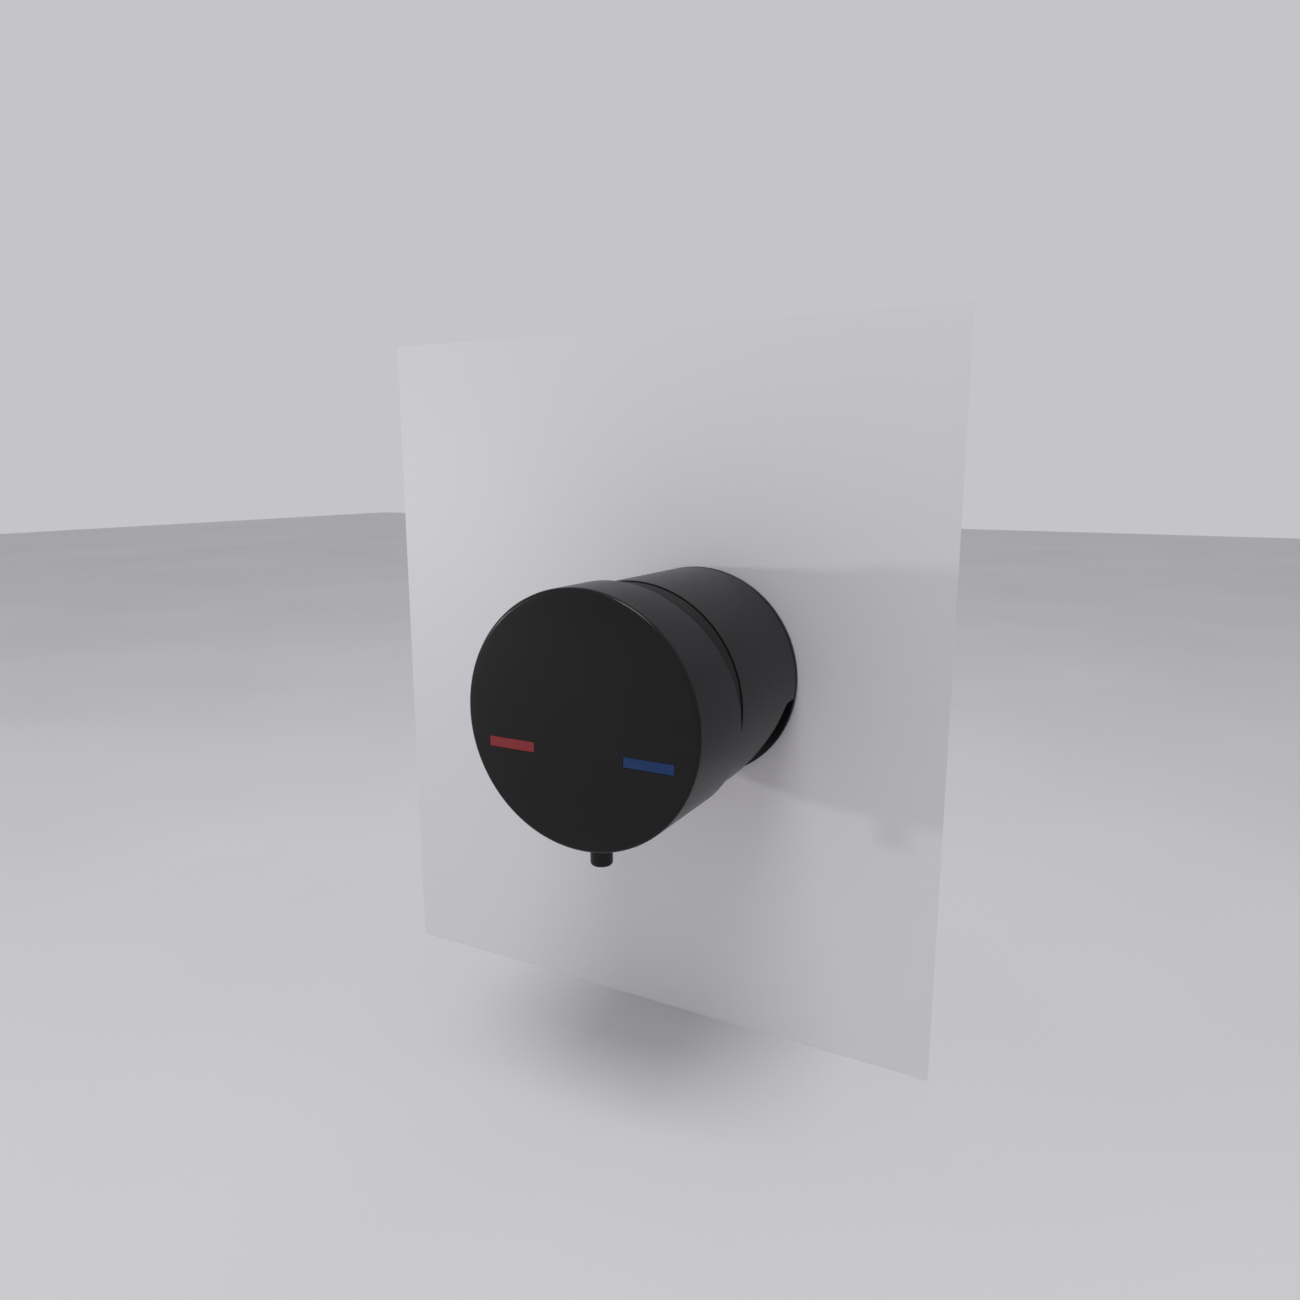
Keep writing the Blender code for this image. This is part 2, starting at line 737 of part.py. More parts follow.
def hang_on(name, at, pieces, parent=None):
    """An empty on a joint's axis, with the pieces that move with it as its children."""
    empty = bpy.data.objects.new(name, None)
    empty.empty_display_size = 0.01
    empty.location = world_point(*at)
    PARTS.objects.link(empty)
    if parent:
        attach(empty, parent)
    for piece in pieces:
        attach(piece, empty)
    return empty


def attach(child, parent):
    """Parents the child and leaves it where it is."""
    bpy.context.view_layer.update()
    child.parent = parent
    child.matrix_parent_inverse = parent.matrix_world.inverted()


def make_fixed_pieces():
    make_base_plate()
    make_shank()
    make_wall_clamp()
    make_valve_body()
    for where, x, z in screw_places():
        make_body_screw(where, x, z)
    make_sleeve()
    ring("chamber_ring", BARREL_R + 0.4, 33.4, 34.4, 36.6, "black_plastic")
    o_ring("sleeve_o_ring", 23.3, 26.7, 37.3, 39.7)
    make_trim_collar()
    make_cartridge_base()
    make_port_seals()
    make_fixed_disc()
    make_housing()
    make_stop_ring()
    ring("cartridge_nut", 14.9, 20.3, 42.8, 46.4, "brass")


def make_moving_pieces():
    middle = (0, PIVOT_OUT, 0)
    turn = hang_on("turn_axis", middle, [make_rotor(), make_pivot_pin()])
    hang_on("disc_axis", middle, [make_moving_disc(), make_disc_driver()], turn)
    knob = [
        make_lever(),
        make_hub(),
        make_set_screw(),
        make_cap(),
        make_marker("hot_marker", -BAR_X, "red_enamel"),
        make_marker("cold_marker", BAR_X, "blue_enamel"),
        make_grip_pin(),
    ]
    hang_on("tilt_axis", middle, knob, turn)


def main():
    make_fixed_pieces()
    for side, x in (("hot", -INLET_X), ("cold", INLET_X)):
        make_inlet(side, x)
    make_moving_pieces()


remove_everything()
PARTS = new_collection("wall_mounted_bath_faucet")
CUTTERS = new_collection("cutters")
main()
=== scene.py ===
"""Looks for the wall-mounted bath mixer: fine surfaces, finishes, light and camera.

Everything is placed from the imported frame. The mixer's axis is the Y axis, the bath wall's face
is the plane y = 0, and "out" is the distance in front of it, in millimetres.
"""

import json
import math

import bmesh
import bpy
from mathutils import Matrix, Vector


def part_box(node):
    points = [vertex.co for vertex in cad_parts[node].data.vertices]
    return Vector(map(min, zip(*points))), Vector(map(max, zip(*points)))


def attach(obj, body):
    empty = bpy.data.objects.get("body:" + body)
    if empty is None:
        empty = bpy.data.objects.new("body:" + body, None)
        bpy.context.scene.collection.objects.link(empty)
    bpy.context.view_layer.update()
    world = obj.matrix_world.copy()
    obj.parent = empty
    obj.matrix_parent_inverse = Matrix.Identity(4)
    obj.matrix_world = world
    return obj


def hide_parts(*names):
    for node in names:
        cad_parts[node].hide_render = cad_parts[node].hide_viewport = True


MM = 0.001
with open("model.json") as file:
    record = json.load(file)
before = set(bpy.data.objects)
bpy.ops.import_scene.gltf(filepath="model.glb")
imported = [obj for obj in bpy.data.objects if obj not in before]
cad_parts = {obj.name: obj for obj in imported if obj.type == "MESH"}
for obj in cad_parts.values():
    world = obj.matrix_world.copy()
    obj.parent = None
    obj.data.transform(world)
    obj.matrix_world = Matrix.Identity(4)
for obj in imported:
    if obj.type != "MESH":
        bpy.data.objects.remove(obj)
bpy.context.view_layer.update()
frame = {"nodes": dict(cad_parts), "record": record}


def span(node, axis):
    """A CAD node's lowest and highest value along an axis, in millimetres."""
    low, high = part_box(node)
    return low[axis] / MM, high[axis] / MM


X, Y, Z = 0, 1, 2

# Sizes read from the frame, in millimetres.
CAP_R = (span("knob_cap", X)[1] - span("knob_cap", X)[0]) / 2
CAP_FRONT = -span("knob_cap", Y)[0]
SLEEVE_R = (span("body_sleeve", X)[1] - span("body_sleeve", X)[0]) / 2
SLEEVE_FRONT = -span("body_sleeve", Y)[0]
SLEEVE_BACK = -span("body_sleeve", Y)[1]
PLATE_BACK = -span("base_plate", Y)[1]
SHANK_END = -span("mounting_shank", Y)[1]
NIPPLE_END = -span("hot_inlet_nipple", Y)[1]
INLET_X = sum(span("cold_inlet_nipple", X)) / 2
NUT_BACK, NUT_FRONT = -span("lock_nut", Y)[1], -span("lock_nut", Y)[0]
GRIP_OUT = -sum(span("grip_pin", Y)) / 2
GRIP_TIP_Z = span("grip_pin", Z)[0]
BAR_X = sum(span("cold_marker", X)) / 2
BAR_Z = sum(span("cold_marker", Z)) / 2
SCREW_OUT = -sum(span("knob_set_screw", Y)) / 2

# Sizes that repeat the CAD part's own, in millimetres.
CAP_WALL, CAP_FACE = 1.0, 3.2
RIM_MID, RIM_SLOPE = 50.8, 0.208
SLEEVE_WALL = 2.4
NECK_R = 35.8
SHANK_R, NIPPLE_R = 20.95, 8.33
BARREL_R, BARREL_FRONT = 23.0, 45.5
GRIP_R = 3.35
BAR_LENGTH, BAR_HEIGHT = 15.4, 3.0
NUT_FLATS, HEX_FLATS = 50.0, 17.0
BATH_WALL = 5.0
OUTLET_TOP_Z = -5.3
GAP = 0.3  # clearance between faces that would touch
SOCKET_R = 1.73  # a body screw's hexagon socket, to its corners

# The stage, in metres: the panel stands on the floor.
PANEL_LEFT, PANEL_RIGHT, PANEL_TOP, PANEL_Y, FLOOR_Z = -0.13, 0.085, 0.115, 0.0002, -0.13

# Detail that only this script draws, in millimetres.
PIPE_PITCH = 1.337  # of the nipples' G 3/8 threads
WIRE_R, WIRE_SPACING = 0.11, 0.62  # of the strainers' woven mesh

# Steps round a turned piece.
FINE, PLAIN, SMALL = 256, 128, 64

COAT_ROUGHNESS = 0.19  # of the clear lacquer on the black and enamelled pieces


# ---------------------------------------------------------------- node helpers


def new_material(name):
    material = bpy.data.materials.new(name)
    material.use_nodes = True
    nodes, links = material.node_tree.nodes, material.node_tree.links
    return material, nodes, links, nodes["Principled BSDF"]


def object_place(nodes, links, stretch=(1, 1, 1)):
    """Object coordinates, stretched along each axis."""
    place = nodes.new("ShaderNodeTexCoord")
    mapping = nodes.new("ShaderNodeMapping")
    mapping.inputs["Scale"].default_value = stretch
    links.new(place.outputs["Object"], mapping.inputs["Vector"])
    return mapping.outputs["Vector"]


def noise(nodes, links, vector, scale, detail=3.0, roughness=0.5):
    texture = nodes.new("ShaderNodeTexNoise")
    texture.inputs["Scale"].default_value = scale
    texture.inputs["Detail"].default_value = detail
    texture.inputs["Roughness"].default_value = roughness
    links.new(vector, texture.inputs["Vector"])
    return texture.outputs["Fac"]


def between(nodes, links, value, low, high):
    """Noise values near 0.3 to 0.7, remapped to run from low to high."""
    remap = nodes.new("ShaderNodeMapRange")
    remap.inputs["From Min"].default_value = 0.3
    remap.inputs["From Max"].default_value = 0.7
    remap.inputs["To Min"].default_value = low
    remap.inputs["To Max"].default_value = high
    links.new(value, remap.inputs["Value"])
    return remap.outputs["Result"]


def two_colours(nodes, links, value, first, second):
    ramp = nodes.new("ShaderNodeValToRGB")
    ramp.color_ramp.elements[0].position = 0.3
    ramp.color_ramp.elements[1].position = 0.7
    ramp.color_ramp.elements[0].color = (*first, 1)
    ramp.color_ramp.elements[1].color = (*second, 1)
    links.new(value, ramp.inputs["Fac"])
    return ramp.outputs["Color"]


def bumped(nodes, links, shader, height, strength, distance):
    bump = nodes.new("ShaderNodeBump")
    bump.inputs["Strength"].default_value = strength
    bump.inputs["Distance"].default_value = distance
    links.new(height, bump.inputs["Height"])
    links.new(bump.outputs["Normal"], shader.inputs["Normal"])


def finish(
    name, dark, light, rough, grain, relief, metallic=0.0, ior=1.5, stretch=(1, 1, 1), patch=60,
    coat=0.0,
):
    """A surface with a slow change of colour and shine, and a fine grain in relief.

    rough is the (lowest, highest) roughness, grain the fine noise's scale, relief its depth in
    metres, patch the scale of the slow change, and coat the weight of a clear lacquer.
    """
    material, nodes, links, shader = new_material(name)
    plain = object_place(nodes, links)
    slow = noise(nodes, links, plain, patch, 2.0)
    links.new(two_colours(nodes, links, slow, dark, light), shader.inputs["Base Color"])
    fine = noise(nodes, links, object_place(nodes, links, stretch), grain, 4.0, 0.6)
    links.new(between(nodes, links, fine, *rough), shader.inputs["Roughness"])
    bumped(nodes, links, shader, fine, 0.6, relief)
    shader.inputs["Metallic"].default_value = metallic
    shader.inputs["IOR"].default_value = ior
    shader.inputs["Coat Weight"].default_value = coat
    shader.inputs["Coat Roughness"].default_value = COAT_ROUGHNESS
    return material


# ---------------------------------------------------------------- finishes


def satin_black():
    """Baked black coating: a very fine even texture that softens reflections."""
    return finish(
        "satin_black", (0.006, 0.006, 0.0065), (0.0075, 0.0075, 0.0082),
        (0.33, 0.41), 2600, 0.000012, ior=1.1, patch=25, coat=0.36,
    )


def enamel(name, dark, light):
    return finish(name, dark, light, (0.33, 0.41), 2200, 0.000010, ior=1.1, patch=300, coat=0.36)


def turned_brass():
    """Machined brass with fine tool marks that run round the axis."""
    return finish(
        "turned_brass", (0.52, 0.34, 0.13), (0.66, 0.47, 0.22),
        (0.24, 0.42), 900, 0.00002, metallic=1.0, stretch=(0.05, 1.6, 0.05), patch=45,
    )


def brushed_steel():
    return finish(
        "brushed_steel", (0.47, 0.47, 0.48), (0.62, 0.62, 0.63),
        (0.2, 0.38), 1200, 0.00001, metallic=1.0, stretch=(0.05, 1.5, 0.05), patch=60,
    )


def moulded_rubber():
    return finish(
        "moulded_rubber", (0.014, 0.014, 0.014), (0.03, 0.03, 0.031),
        (0.62, 0.82), 1400, 0.00004, patch=90,
    )


def moulded_plastic(name, dark, light):
    return finish(name, dark, light, (0.38, 0.52), 1800, 0.00002, patch=70)


def lapped_ceramic():
    return finish(
        "lapped_ceramic", (0.80, 0.77, 0.70), (0.88, 0.86, 0.80),
        (0.12, 0.22), 3000, 0.000004, patch=120,
    )


FINISHES = {
    "satin_black": satin_black(),
    "red_enamel": enamel("red_enamel", (0.20, 0.022, 0.027), (0.23, 0.028, 0.033)),
    "blue_enamel": enamel("blue_enamel", (0.008, 0.030, 0.105), (0.010, 0.036, 0.120)),
    "brass": turned_brass(),
    "steel": brushed_steel(),
    "rubber": moulded_rubber(),
    "white_plastic": moulded_plastic("natural_acetal", (0.68, 0.68, 0.64), (0.76, 0.76, 0.72)),
    "grey_plastic": moulded_plastic("grey_filled_plastic", (0.2, 0.21, 0.22), (0.27, 0.28, 0.3)),
    "black_plastic": moulded_plastic("black_plastic", (0.014, 0.014, 0.015), (0.022, 0.022, 0.023)),
    "ceramic": lapped_ceramic(),
}


# ---------------------------------------------------------------- shape helpers


def rounded(points, radius, steps=3, kept=()):
    """An outline with its corners rounded, apart from its ends on the axis and those kept."""
    result = []
    count = len(points)
    for k, corner in enumerate(points):
        if corner[0] == 0 or k in kept:
            result.append(corner)
            continue
        here = Vector(corner)
        before = Vector(points[k - 1]) - here
        after = Vector(points[(k + 1) % count]) - here
        reach = min(radius, 0.45 * before.length, 0.45 * after.length)
        first = here + before.normalized() * reach
        last = here + after.normalized() * reach
        for step in range(steps + 1):
            t = step / steps
            point = first * (1 - t) ** 2 + here * (2 * t * (1 - t)) + last * t**2
            result.append((point.x, point.y))
    return result


def placed(radius, angle, height, at, axis):
    """A point of a turned piece, whose axis runs out from the wall or up."""
    across, up = radius * math.cos(angle), radius * math.sin(angle)
    x, out, z = at
    if axis == "out":
        return Vector((x + across, -(out + height), z + up)) * MM
    return Vector((x + across, -out + up, z + height)) * MM


def swept(name, section, steps=PLAIN, at=(0, 0, 0), axis="out", angles=None):
    """A solid with the outline section(angle) at each angle round its axis.

    The outline is a list of (radius, height), the same length at each angle. One that starts
    and ends on the axis is closed by single points there; any other is a ring.
    """
    if angles is None:
        angles = [2 * math.pi * k / steps for k in range(steps)]
    bm = bmesh.new()
    sample = section(angles[0])
    on_axis = sample[0][0] == 0
    poles = {}
    if on_axis:
        for k in (0, len(sample) - 1):
            poles[k] = bm.verts.new(placed(0, 0, sample[k][1], at, axis))
    rows = []
    for angle in angles:
        row = [
            poles.get(k) or bm.verts.new(placed(radius, angle, height, at, axis))
            for k, (radius, height) in enumerate(section(angle))
        ]
        rows.append(row if on_axis else row + row[:1])
    for here, after in zip(rows, rows[1:] + rows[:1]):
        for a, b, c, d in zip(here, here[1:], after[1:], after):
            corners = [v for k, v in enumerate((a, b, c, d)) if v not in (a, b, c, d)[:k]]
            bm.faces.new(corners)
    bmesh.ops.recalc_face_normals(bm, faces=bm.faces)
    return mesh_object(name, bm)


def mesh_object(name, bm):
    mesh = bpy.data.meshes.new(name)
    bm.to_mesh(mesh)
    bm.free()
    obj = bpy.data.objects.new(name, mesh)
    bpy.context.scene.collection.objects.link(obj)
    return obj


def turned(name, outline, steps=PLAIN, at=(0, 0, 0), axis="out"):
    return swept(name, lambda angle: outline, steps, at, axis)


def disc(radius, back, front):
    return [(0, front), (radius, front), (radius, back), (0, back)]


def hoop(inner, outer, back, front):
    return [(inner, front), (outer, front), (outer, back), (inner, back)]


def thread(radius, depth, pitch, front, back, angle, samples=8):
    """Points down a threaded stretch, at one angle round it, from front to back."""
    points = []
    count = int(round((front - back) / pitch * samples))
    for k in range(count + 1):
        out = front + (back - front) * k / count
        phase = (out / pitch + angle / (2 * math.pi)) % 1
        crest = min(1.0, max(0.0, 1.6 * abs(2 * phase - 1) - 0.3))  # flat at top and bottom
        run_out = min(1.0, min(k, count - k) / samples)
        points.append((radius - depth * (1 - crest) * run_out, out))
    return points


def hexagon_radius(angle, across_flats):
    """Distance from the axis to a hexagon's side, with flats to the left and right."""
    turn = (angle + math.radians(30)) % math.radians(60) - math.radians(30)
    return across_flats / 2 / math.cos(turn)


def hexagon_stretch(angle, across_flats, front, back):
    """Points down a hexagon whose corners are chamfered at both ends."""
    side = hexagon_radius(angle, across_flats)
    flat = across_flats / 2
    face_r = flat - 0.6
    chamfer = (side - flat) * math.tan(math.radians(30)) + 0.05
    return [
        (face_r, front),
        (side, front - chamfer),
        (side, back + chamfer),
        (face_r, back),
    ]


def cut(obj, *cutters):
    """Booleans, applied at once, with the cutters removed."""
    for cutter in cutters:
        modifier = obj.modifiers.new("cut", "BOOLEAN")
        modifier.operation = "DIFFERENCE"
        modifier.solver = "EXACT"
        modifier.object = cutter
    bpy.context.view_layer.update()
    evaluated = obj.evaluated_get(bpy.context.evaluated_depsgraph_get())
    mesh = bpy.data.meshes.new_from_object(evaluated)
    obj.modifiers.clear()
    obj.data = mesh
    for cutter in cutters:
        bpy.data.objects.remove(cutter)
    return obj


def block(name, low, high, edge=0.0):
    """A box between two corners given as right, out and up, with rounded vertical edges."""
    bm = bmesh.new()
    bmesh.ops.create_cube(bm, size=1)
    for vert in bm.verts:
        unit = (vert.co.x, -vert.co.y, vert.co.z)
        x, out, z = [a + (b - a) * (0.5 + c) for a, b, c in zip(low, high, unit)]
        vert.co = Vector((x, -out, z)) * MM
    if edge:
        along_y = [e for e in bm.edges if abs(e.verts[0].co.y - e.verts[1].co.y) > 1e-5]
        bmesh.ops.bevel(
            bm, geom=along_y, offset=edge * MM, segments=4, affect="EDGES", profile=0.5
        )
    bmesh.ops.recalc_face_normals(bm, faces=bm.faces)
    return mesh_object(name, bm)


def smooth(obj, sharp=38):
    obj.data.shade_smooth()
    obj.data.set_sharp_from_angle(angle=math.radians(sharp))
    weights = obj.modifiers.new("even_normals", "WEIGHTED_NORMAL")
    weights.mode = "FACE_AREA"
    weights.weight = 60
    weights.keep_sharp = True
    return obj


def finished(obj, body, slot, *nodes, sharp=38):
    """Gives a piece its finish, its body and the CAD nodes that it stands for."""
    smooth(obj, sharp)
    obj.data.materials.clear()
    obj.data.materials.append(FINISHES[slot])
    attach(obj, body)
    if nodes:
        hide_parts(*nodes)
    return obj


# ---------------------------------------------------------------- knob


def rim_out(angle, radius):
    """How far out the skirt's leaning rear rim is, at an angle round it."""
    return RIM_MID + RIM_SLOPE * radius * math.sin(angle)


def make_knob_cap():
    """Flat face with a small round edge, thin skirt, leaning rim, and recesses for the bars."""
    inner = CAP_R - CAP_WALL
    edge_r, rim_r = 1.1, 0.3
    face = 34.0

    def section(angle):
        rim = rim_out(angle, CAP_R)
        edge = [
            (CAP_R - edge_r + edge_r * math.sin(a), CAP_FRONT - edge_r + edge_r * math.cos(a))
            for a in [math.radians(15 * k) for k in range(7)]
        ]
        lip = [
            (CAP_R, rim + rim_r),
            (CAP_R - 0.1, rim + 0.1),
            (CAP_R - rim_r, rim),
            (inner + rim_r, rim),
            (inner + 0.1, rim + 0.1),
            (inner, rim + rim_r),
        ]
        back = CAP_FRONT - CAP_FACE
        return [(0, CAP_FRONT), (face, CAP_FRONT)] + edge + lip + [(inner, back), (0, back)]

    cap = swept("knob_cap_shell", section, FINE)
    recess, clearance = 0.45, 0.1
    cutters = [turned("grip_hole", disc(GRIP_R + 0.25, -41, -34), SMALL, (0, GRIP_OUT, 0), "up")]
    for x in (-BAR_X, BAR_X):
        half_x, half_z = BAR_LENGTH / 2 + clearance, BAR_HEIGHT / 2 + clearance
        low = (x - half_x, CAP_FRONT - recess, BAR_Z - half_z)
        high = (x + half_x, CAP_FRONT + 1, BAR_Z + half_z)
        cutters.append(block("bar_recess", low, high, 0.12))
    cut(cap, *cutters)
    return finished(cap, "knob", "satin_black", "knob_cap")


def make_bar(name, x, slot, node):
    """An enamelled bar that lies in its recess, just below the face."""
    low = (x - BAR_LENGTH / 2, CAP_FRONT - 0.4, BAR_Z - BAR_HEIGHT / 2)
    high = (x + BAR_LENGTH / 2, CAP_FRONT - 0.03, BAR_Z + BAR_HEIGHT / 2)
    bar = block(name, low, high, 0.1)
    soften = bar.modifiers.new("soft_edge", "BEVEL")
    soften.width = 0.05 * MM
    soften.segments = 2
    soften.limit_method = "ANGLE"
    return finished(bar, "knob", slot, node)


def make_grip_pin():
    """The pin's outer part is round with a domed tip; its threaded end hides in the hub."""
    thread_top, shoulder, thread_r, depth, pitch = -24.5, -35.7, 2.45, 0.35, 0.8
    outer = [(0, shoulder), (GRIP_R, shoulder), (GRIP_R, GRIP_TIP_Z), (0, GRIP_TIP_Z)]
    tip = rounded(outer, 1.0, 6, (1,))[1:]

    def section(angle):
        ridge = thread(thread_r, depth, pitch, thread_top - pitch, shoulder + 0.4, angle)
        return [(0, thread_top), (2.0, thread_top)] + ridge + [(thread_r, shoulder)] + tip

    pin = swept("grip_pin_turned", section, SMALL, (0, GRIP_OUT, 0), "up")
    return finished(pin, "knob", "satin_black", "grip_pin")


def make_hub():
    """The brass carrier inside the cap, seen through the gap above the collar."""
    outline = [
        (0, 74.5),
        (35.9, 74.5),
        (35.9, 71.5),
        (8.0, 71.5),
        (8.0, 53.5),
        (3.3, 53.5),
        (3.3, 70.3),
        (0, 70.3),
    ]
    hub = turned("knob_hub_turned", rounded(outline, 0.4, 2), PLAIN)
    arm = block("grip_arm", (-5.5, 61.0, -35.4), (5.5, 72.5, -6.5), 0.8)
    join = hub.modifiers.new("arm", "BOOLEAN")
    join.operation = "UNION"
    join.solver = "EXACT"
    join.object = arm
    cut(
        hub,
        turned("grip_bore", disc(2.75, -40, -22), SMALL, (0, GRIP_OUT, 0), "up"),
        turned("set_bore", disc(2.8, 0, 12), SMALL, (0, SCREW_OUT, 0), "up"),
    )
    bpy.data.objects.remove(arm)
    return finished(hub, "knob", "brass", "knob_hub", sharp=30)


def make_set_screw():
    def section(angle):
        ridge = thread(2.5, 0.3, 0.8, 8.1, 3.7, angle)
        return [(0, 8.4), (2.1, 8.4)] + ridge + [(1.6, 3.4), (0, 3.4)]

    screw = swept("knob_set_screw_threaded", section, SMALL, (0, SCREW_OUT, 0), "up")
    socket = turned("set_socket", disc(1.25, 6.2, 9.5), 6, (0, SCREW_OUT, 0), "up")
    return finished(cut(screw, socket), "knob", "steel", "knob_set_screw")


# ---------------------------------------------------------------- body


def outlet_edge(z):
    """How far out the outlet's cut-away reaches at a height; it starts below a round corner."""
    corner_r, corner_out, slope = 3.0, 7.4, 0.8
    lean = math.atan(1 / slope)
    end_z = OUTLET_TOP_Z - corner_r * (1 - math.sin(math.radians(90) - lean))
    if z > OUTLET_TOP_Z:
        return SLEEVE_BACK
    if z > end_z:
        drop = OUTLET_TOP_Z - corner_r - z
        return corner_out + math.sqrt(max(corner_r**2 - drop**2, 0))
    end_out = corner_out + corner_r * math.cos(math.radians(90) - lean)
    return end_out + slope * (end_z - z)


def make_sleeve():
    """The outer tube, whose back edge follows the outlet's cut-away."""
    inner, lip, edge = SLEEVE_R - SLEEVE_WALL, 27.0, 0.3

    def section(angle):
        back = outlet_edge(SLEEVE_R * math.sin(angle))
        return [
            (lip, 40.0),
            (inner, 40.0),
            (inner, SLEEVE_FRONT - edge),
            (inner + edge, SLEEVE_FRONT),
            (SLEEVE_R - edge, SLEEVE_FRONT),
            (SLEEVE_R - 0.09, SLEEVE_FRONT - 0.09),
            (SLEEVE_R, SLEEVE_FRONT - edge),
            (SLEEVE_R, (SLEEVE_FRONT + back) / 2),
            (SLEEVE_R, back + edge),
            (SLEEVE_R - 0.13, back + 0.13),
            (SLEEVE_R - edge, back),
            (inner + edge, back),
            (inner, back + edge),
            (inner, 37.0),
            (lip, 37.0),
        ]

    top_turn = math.asin(OUTLET_TOP_Z / SLEEVE_R)
    sleeve = swept("body_sleeve_shell", section, FINE, angles=sleeve_angles(top_turn))
    return finished(sleeve, "fixed", "satin_black", "body_sleeve", sharp=40)


def sleeve_angles(top_turn):
    """Even angles, with extra ones where the cut-away's round corner starts, on both sides."""
    angles = {round(2 * math.pi * k / FINE, 6) for k in range(FINE)}
    for k in range(9):
        near = top_turn - 0.0002 - math.radians(3.2) * (k / 8) ** 2
        angles |= {round(near % (2 * math.pi), 6), round((math.pi - near) % (2 * math.pi), 6)}
    just_above = top_turn + 0.0002
    angles |= {round(just_above % (2 * math.pi), 6), round((math.pi - just_above), 6)}
    return sorted(angles)


def make_base_plate():
    boss_r = SLEEVE_R - SLEEVE_WALL - GAP
    bore_r = SHANK_R + 0.35
    outline = [
        (bore_r, 3.2),
        (boss_r, 3.2),
        (boss_r, 2.0),
        (SLEEVE_R, 2.0),
        (SLEEVE_R, PLATE_BACK),
        (32.0, PLATE_BACK),
        (32.0, 1.7),
        (bore_r, 1.7),
    ]
    plate = turned("base_plate_turned", rounded(outline, 0.25, 3), FINE)
    return finished(plate, "fixed", "satin_black", "base_plate")


def make_trim_collar():
    """Stands on the sleeve's front edge with a short tapered neck, and closes in to the lever."""
    neck_back, tail_r = SLEEVE_FRONT + GAP, SLEEVE_R - SLEEVE_WALL - GAP
    outline = [
        (12.5, 52.2),
        (13.3, 53.0),
        (31.0, 53.0),
        (33.6, 52.3),
        (34.9, 51.0),
        (NECK_R, neck_back + 0.15),
        (NECK_R - 0.15, neck_back),
        (tail_r, neck_back),
        (tail_r, 40.4),
        (BARREL_R + 0.4, 40.4),
        (BARREL_R + 0.4, 49.0),
        (20.0, 50.8),
        (12.5, 51.1),
    ]
    collar = turned("trim_collar_turned", rounded(outline, 1.2, 5, (5, 6, 7, 8)), FINE)
    return finished(collar, "fixed", "satin_black", "trim_collar", sharp=50)


def make_chamber_ring():
    outline = rounded(hoop(BARREL_R + 0.4, 33.4, 34.4, 36.6), 0.4)
    chamber_ring = turned("chamber_ring_turned", outline)
    return finished(chamber_ring, "fixed", "black_plastic", "chamber_ring")


def make_valve_body():
    """The brass body, with its flange, its cup and the wide outlet slot.

    The CAD's two supply ports are inclined. Here they are straight, near the middle of those.
    """
    port_x, port_z = 8.6, 1.8
    outline = [
        (0, 14.0),
        (17.8, 14.0),
        (17.8, 40.0),
        (20.7, 40.0),
        (20.7, BARREL_FRONT),
        (BARREL_R, BARREL_FRONT),
        (BARREL_R, 10.3),
        (31.0, 10.3),
        (31.0, 6.3),
        (0, 6.3),
    ]
    body = turned("valve_body_turned", rounded(outline, 0.5, 3), PLAIN)
    cutters = [block("outlet_slot", (-12, 8.2, -32), (12, 12.2, -4.5))]
    cutters.append(turned("mixed_port", disc(3.0, 10, 15), SMALL, (0, 0, -7.2)))
    for x, z in screw_places().values():
        cutters.append(turned("screw_hole", disc(2.1, 5, 12), SMALL, (x, 0, z)))
    for sign in (-1, 1):
        cutters.append(turned("port", disc(2.3, 5, 15), SMALL, (sign * port_x, 0, port_z)))
    cut(body, *cutters)
    return finished(body, "fixed", "brass", "valve_body", sharp=30)


def screw_places():
    """Where each body screw is, across and up, in millimetres."""
    places = {}
    for where in ("top", "left", "right"):
        node = f"body_screw_{where}"
        places[where] = (sum(span(node, X)) / 2, sum(span(node, Z)) / 2)
    return places


def make_body_screw(where, x, z):
    """A cap screw with a knurled head, a socket and a thread."""

    def section(angle):
        knurl = 3.4 - 0.07 * (math.sin(angle * 30) > 0)
        cap = rounded([(0, 14.2), (knurl, 14.2), (knurl, 10.6), (0, 10.6)], 0.35, 3, (2,))[:-1]
        ridge = thread(1.75, 0.25, 0.7, 10.3, 4.2, angle)
        return cap + [(1.75, 10.6)] + ridge + [(1.3, 3.8), (0, 3.8)]

    screw = swept(f"body_screw_{where}_threaded", section, 120, (x, 0, z))
    socket = turned("socket", disc(SOCKET_R, 12.0, 15.0), 6, (x, 0, z))
    return finished(cut(screw, socket), "fixed", "steel", f"body_screw_{where}", sharp=30)


# ---------------------------------------------------------------- behind the wall


